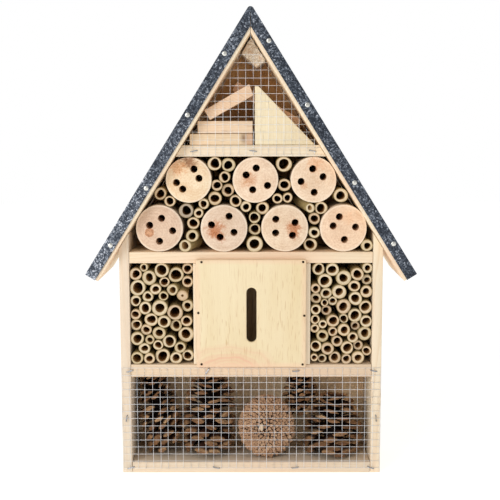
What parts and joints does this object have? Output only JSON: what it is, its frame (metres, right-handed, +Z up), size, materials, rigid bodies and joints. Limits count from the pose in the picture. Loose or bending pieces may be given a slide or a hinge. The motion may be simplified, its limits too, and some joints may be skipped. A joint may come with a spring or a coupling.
{
  "type": "insect hotel",
  "caption": "Free-standing gabled wooden insect hotel with a sheet metal roof, butterfly slot, drilled logs, cane tubes, pine cones and wood offcuts behind wire mesh.",
  "frame": {"origin": "middle of the footprint at the base", "axes": "+Z up, the open front faces -Y, +X to the right seen from the front"},
  "size_m": [0.275, 0.092, 0.391],
  "materials": {
    "case_pine": "planed pale pine, clear finish, satin",
    "roof_pine": "planed pale pine, satin",
    "back_plywood": "thin plywood, matt",
    "front_panel": "planed pale board with cathedral grain, satin",
    "steel": "bright zinc-plated fasteners",
    "dark_steel": "small dark heads, set just proud of the panel",
    "galvanised_sheet": "dark grey galvanised sheet with small spangle",
    "wire": "bright galvanised welded wire",
    "log_wood": "sawn end grain with growth rings, matt",
    "bamboo": "dried cane, sawn ends paler than the skin",
    "cone_scales": "dry pine cone scales, dark brown with tan tips",
    "offcut_pine": "sawn pine offcuts"
  },
  "bodies": {
    "root": {"side_wall_left": "case_pine", "side_wall_right": "case_pine", "floor_board": "case_pine", "lower_shelf": "case_pine", "middle_shelf": "case_pine", "attic_floor": "case_pine", "divider_left": "case_pine", "divider_right": "case_pine", "back_panel": "back_plywood", "butterfly_panel": "front_panel", "brad_left_top": "dark_steel", "brad_left_middle": "dark_steel", "brad_left_bottom": "dark_steel", "brad_right_top": "dark_steel", "brad_right_middle": "dark_steel", "brad_right_bottom": "dark_steel", "roof_board_left": "roof_pine", "roof_board_right": "roof_pine", "roof_cover": "galvanised_sheet", "roof_nail_left_1": "steel", "roof_nail_left_2": "steel", "roof_nail_left_3": "steel", "roof_nail_left_4": "steel", "roof_nail_right_1": "steel", "roof_nail_right_2": "steel", "roof_nail_right_3": "steel", "roof_nail_right_4": "steel", "cone_bay_mesh": "wire", "attic_mesh": "wire", "log_low_1": "log_wood", "log_low_2": "log_wood", "log_low_3": "log_wood", "log_low_4": "log_wood", "log_high_1": "log_wood", "log_high_2": "log_wood", "log_high_3": "log_wood", "bamboo_bundle_left": "bamboo", "bamboo_bundle_right": "bamboo", "bamboo_gap_left_slope": "bamboo", "bamboo_gap_left": "bamboo", "bamboo_gap_upper_left": "bamboo", "bamboo_gap_middle": "bamboo", "bamboo_gap_upper_right": "bamboo", "bamboo_gap_right": "bamboo", "bamboo_gap_right_slope": "bamboo", "bamboo_gap_corner": "bamboo", "pine_cone_left_outer": "cone_scales", "pine_cone_left_inner": "cone_scales", "pine_cone_middle": "cone_scales", "pine_cone_right_upper": "cone_scales", "pine_cone_right_front": "cone_scales", "offcut_bottom": "offcut_pine", "offcut_second": "offcut_pine", "offcut_leaning": "offcut_pine", "offcut_triangle": "offcut_pine", "offcut_back": "offcut_pine", "offcut_ridge": "offcut_pine", "hanger_plate": "steel", "hanger_screw_1": "steel", "hanger_screw_2": "steel"}
  },
  "joints": []
}
